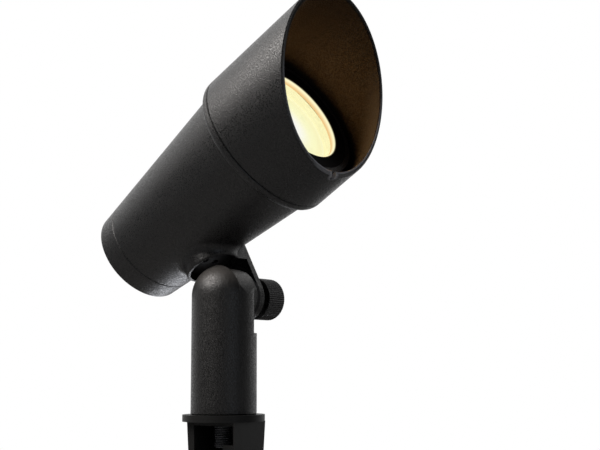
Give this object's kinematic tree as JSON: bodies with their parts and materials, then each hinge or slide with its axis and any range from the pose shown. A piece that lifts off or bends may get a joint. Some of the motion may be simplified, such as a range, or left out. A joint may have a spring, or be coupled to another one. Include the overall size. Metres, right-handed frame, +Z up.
{
  "type": "garden spike spotlight",
  "caption": "Garden spotlight with a bevelled glare shroud and tapered black barrel that tilts on a domed stem screwed to a ground spike.",
  "frame": {"origin": "centre of the underside of the spike's flange, where it rests on the soil", "axes": "+Z up along the stem, -Y the way the light shines, +X the side the clamp knob is on"},
  "size_m": [0.0734, 0.1357, 0.4009],
  "materials": {
    "powder_coat": "satin",
    "spike_plastic": "matte",
    "black_rubber": "matte",
    "washer_plastic": "matte",
    "screw_steel": "brushed",
    "brass": "satin",
    "clear_glass": "clear",
    "lamp_diffuser": "frosted",
    "lamp_aluminium": "satin",
    "ceramic": "matte",
    "board_white": "satin",
    "led_phosphor": "matte"
  },
  "bodies": {
    "ground_spike": {"spike": "spike_plastic"},
    "stem": {"stem": "powder_coat", "nipple": "powder_coat", "pivot_insert": "brass", "friction_washer": "black_rubber"},
    "head": {"housing": "powder_coat", "wire_grommet": "black_rubber", "rear_cap": "powder_coat", "rear_cap_oring": "black_rubber", "shroud_oring": "black_rubber", "lens_gasket": "black_rubber", "lens_glass": "clear_glass", "lens_retaining_ring": "powder_coat", "lamp_body": "lamp_aluminium", "lamp_board": "board_white", "lamp_leds": "led_phosphor", "lamp_lens": "lamp_diffuser", "lamp_front_ring": "lamp_aluminium", "lamp_base": "ceramic", "lamp_pins": "screw_steel", "lamp_socket": "ceramic", "socket_contacts": "brass", "socket_bracket": "screw_steel", "socket_screws": "screw_steel"},
    "glare_shroud": {"shroud": "powder_coat"},
    "clamp_washer": {"knob_washer": "washer_plastic"},
    "clamp_knob": {"knob": "powder_coat", "pivot_screw": "screw_steel"}
  },
  "joints": [
    {"name": "stem_turn", "type": "hinge", "parent": "ground_spike", "child": "stem", "pos_m": [0, 0, 0], "axis": [0, 0, 1], "range_deg": [-180, 180]},
    {"name": "head_tilt", "type": "hinge", "parent": "stem", "child": "head", "pos_m": [0, 0, 0.0565], "axis": [-1, 0, 0], "range_deg": [-70, 61.5]},
    {"name": "shroud_turn", "type": "hinge", "parent": "head", "child": "glare_shroud", "pos_m": [0, 0.0229, 0.09868], "axis": [0, -0.8788, 0.4772], "range_deg": [-180, 180]},
    {"name": "knob_lift", "type": "slide", "parent": "stem", "child": "clamp_washer", "axis": [1, 0, 0], "range_m": [0, 0.002]},
    {"name": "knob_turn", "type": "hinge", "parent": "clamp_washer", "child": "clamp_knob", "pos_m": [0, 0, 0.0565], "axis": [1, 0, 0], "range_deg": [0, 720]}
  ],
  "couplings": [
    {"joint": "knob_turn", "follows": "knob_lift", "rad_per_m": 6283.2}
  ]
}
